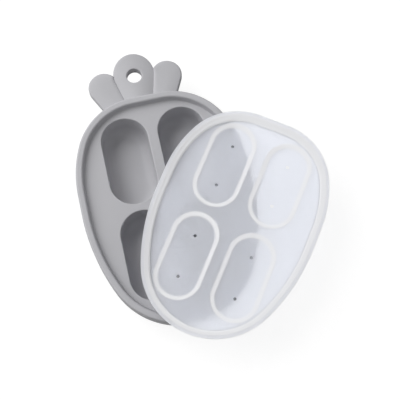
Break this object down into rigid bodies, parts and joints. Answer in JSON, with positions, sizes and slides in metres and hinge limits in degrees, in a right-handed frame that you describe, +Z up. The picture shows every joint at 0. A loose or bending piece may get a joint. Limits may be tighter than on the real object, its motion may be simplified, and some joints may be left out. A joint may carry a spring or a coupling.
{
  "type": "baby food freezer tray",
  "caption": "Root-shaped soft silicone freezer tray with obround portion cups, a leaf-shaped hanging tab and a loose translucent push-in lid with vents.",
  "frame": {"origin": "the middle of the foot of the back left cup, on the surface that the tray stands on", "axes": "+Z up; +Y from the narrow tip to the wide end with the hanging tab; +X to the right, the side over which the lid lies"},
  "size_m": [0.1764, 0.2241, 0.0364],
  "materials": {
    "silicone": "matt moulded silicone, mid grey",
    "frosted_plastic": "frosted translucent plastic, slightly blue"
  },
  "bodies": {
    "tray": {"tray": "silicone"},
    "lid": {"lid": "frosted_plastic"}
  },
  "joints": [
    {"name": "lid_lift", "type": "slide", "parent": "tray", "child": "lid", "axis": [0, 0, 1], "range_m": [0, 0.06]}
  ]
}
